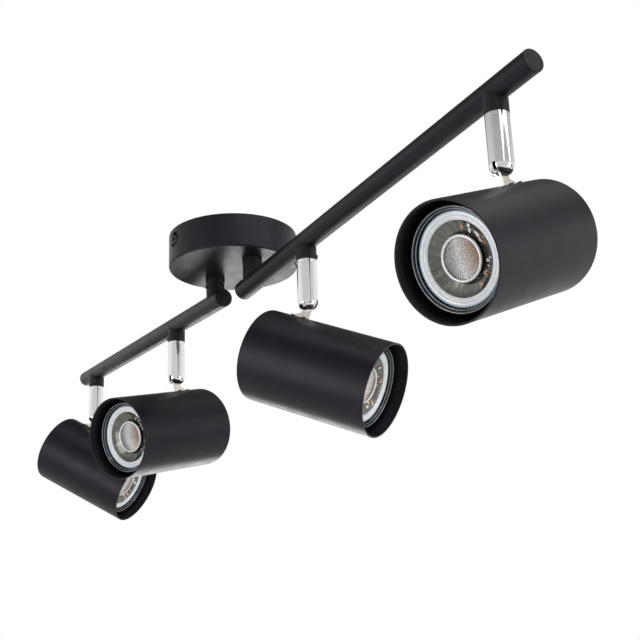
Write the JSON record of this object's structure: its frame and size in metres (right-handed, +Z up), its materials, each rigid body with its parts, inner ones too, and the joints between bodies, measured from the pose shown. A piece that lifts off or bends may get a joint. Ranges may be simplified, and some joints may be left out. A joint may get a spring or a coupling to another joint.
{
  "type": "spotlight bar",
  "caption": "Ceiling spotlight bar with a round drum canopy, two swivelling tube arms and adjustable round can heads on short chromed stems.",
  "frame": {"origin": "centre of the canopy's ceiling face", "axes": "+Z up into the ceiling, X through the two arm swivels, Y along the ceiling strap"},
  "size_m": [0.653, 0.1793, 0.1683],
  "materials": {
    "black_paint": "satin powder coat",
    "black_screw": "satin black oxide",
    "black_plastic": "matt",
    "zinc_steel": "zinc plated",
    "nickel_steel": "bright nickel plate",
    "chrome": "mirror chrome",
    "brass": "plain",
    "white_plastic": "satin",
    "ceramic": "unglazed",
    "lamp_plastic": "gloss",
    "lamp_lens": "clear with a fine moulded texture"
  },
  "bodies": {
    "canopy": {"canopy_cup": "black_paint", "ceiling_strap": "zinc_steel", "canopy_side_screws": "black_screw", "earth_screw": "brass", "terminal_block": "white_plastic", "terminal_screws": "brass", "swivel_washers": "zinc_steel"},
    "right_arm": {"right_arm_tube": "black_paint", "right_end_caps": "black_plastic", "right_swivel_collar": "black_paint", "right_swivel_nipple": "zinc_steel", "right_swivel_nut": "zinc_steel", "right_arm_insert_nuts": "zinc_steel", "right_stem_nipples": "zinc_steel", "right_set_screws": "black_screw", "right_outer_stem_collar": "black_paint", "right_inner_stem_collar": "black_paint"},
    "left_arm": {"left_arm_tube": "black_paint", "left_end_caps": "black_plastic", "left_swivel_collar": "black_paint", "left_swivel_nipple": "zinc_steel", "left_swivel_nut": "zinc_steel", "left_arm_insert_nuts": "zinc_steel", "left_stem_nipples": "zinc_steel", "left_set_screws": "black_screw", "left_inner_stem_collar": "black_paint", "left_outer_stem_collar": "black_paint"},
    "right_outer_stem": {"right_outer_stem": "chrome", "right_outer_tilt_rivet": "nickel_steel"},
    "right_outer_head": {"right_outer_bracket": "nickel_steel", "right_outer_bracket_rivets": "black_screw", "right_outer_shell": "black_paint", "right_outer_lamp_holder": "ceramic", "right_outer_lamp_body": "lamp_plastic", "right_outer_lamp_lens": "lamp_lens"},
    "right_inner_stem": {"right_inner_stem": "chrome", "right_inner_tilt_rivet": "nickel_steel"},
    "right_inner_head": {"right_inner_bracket": "nickel_steel", "right_inner_bracket_rivets": "black_screw", "right_inner_shell": "black_paint", "right_inner_lamp_holder": "ceramic", "right_inner_lamp_body": "lamp_plastic", "right_inner_lamp_lens": "lamp_lens"},
    "left_inner_stem": {"left_inner_stem": "chrome", "left_inner_tilt_rivet": "nickel_steel"},
    "left_inner_head": {"left_inner_bracket": "nickel_steel", "left_inner_bracket_rivets": "black_screw", "left_inner_shell": "black_paint", "left_inner_lamp_holder": "ceramic", "left_inner_lamp_body": "lamp_plastic", "left_inner_lamp_lens": "lamp_lens"},
    "left_outer_stem": {"left_outer_stem": "chrome", "left_outer_tilt_rivet": "nickel_steel"},
    "left_outer_head": {"left_outer_bracket": "nickel_steel", "left_outer_bracket_rivets": "black_screw", "left_outer_shell": "black_paint", "left_outer_lamp_holder": "ceramic", "left_outer_lamp_body": "lamp_plastic", "left_outer_lamp_lens": "lamp_lens"}
  },
  "joints": [
    {"name": "right_arm_swivel", "type": "hinge", "parent": "canopy", "child": "right_arm", "pos_m": [0.0236, 0, -0.0414], "axis": [0, 0, 1], "range_deg": [-83.3, 96.7]},
    {"name": "left_arm_swivel", "type": "hinge", "parent": "canopy", "child": "left_arm", "pos_m": [-0.0236, 0, -0.0414], "axis": [0, 0, 1], "range_deg": [-81.5, 98.5]},
    {"name": "right_outer_pan", "type": "hinge", "parent": "right_arm", "child": "right_outer_stem", "pos_m": [0.2858, -0.0308, -0.06945], "axis": [0, 0, 1], "range_deg": [-188, 162]},
    {"name": "right_outer_tilt", "type": "hinge", "parent": "right_outer_stem", "child": "right_outer_head", "pos_m": [0.2858, -0.0308, -0.06945], "axis": [0.9945, 0.1045, 0], "range_deg": [-52.4, 67.6]},
    {"name": "right_inner_pan", "type": "hinge", "parent": "right_arm", "child": "right_inner_stem", "pos_m": [0.09646, -0.00856, -0.08111], "axis": [0, 0, 1], "range_deg": [-121, 229]},
    {"name": "right_inner_tilt", "type": "hinge", "parent": "right_inner_stem", "child": "right_inner_head", "pos_m": [0.09646, -0.00856, -0.08111], "axis": [-0.4833, 0.8755, 0], "range_deg": [-53, 67]},
    {"name": "left_inner_pan", "type": "hinge", "parent": "left_arm", "child": "left_inner_stem", "pos_m": [-0.09616, 0.01084, -0.08111], "axis": [0, 0, 1], "range_deg": [-196, 154]},
    {"name": "left_inner_tilt", "type": "hinge", "parent": "left_inner_stem", "child": "left_inner_head", "pos_m": [-0.09616, 0.01084, -0.08111], "axis": [0.9763, 0.2164, 0], "range_deg": [-44.3, 75.7]},
    {"name": "left_outer_pan", "type": "hinge", "parent": "left_arm", "child": "left_outer_stem", "pos_m": [-0.28471, 0.03902, -0.06945], "axis": [0, 0, 1], "range_deg": [-132, 218]},
    {"name": "left_outer_tilt", "type": "hinge", "parent": "left_outer_stem", "child": "left_outer_head", "pos_m": [-0.28471, 0.03902, -0.06945], "axis": [-0.6198, 0.7848, 0], "range_deg": [-60.1, 59.9]}
  ]
}
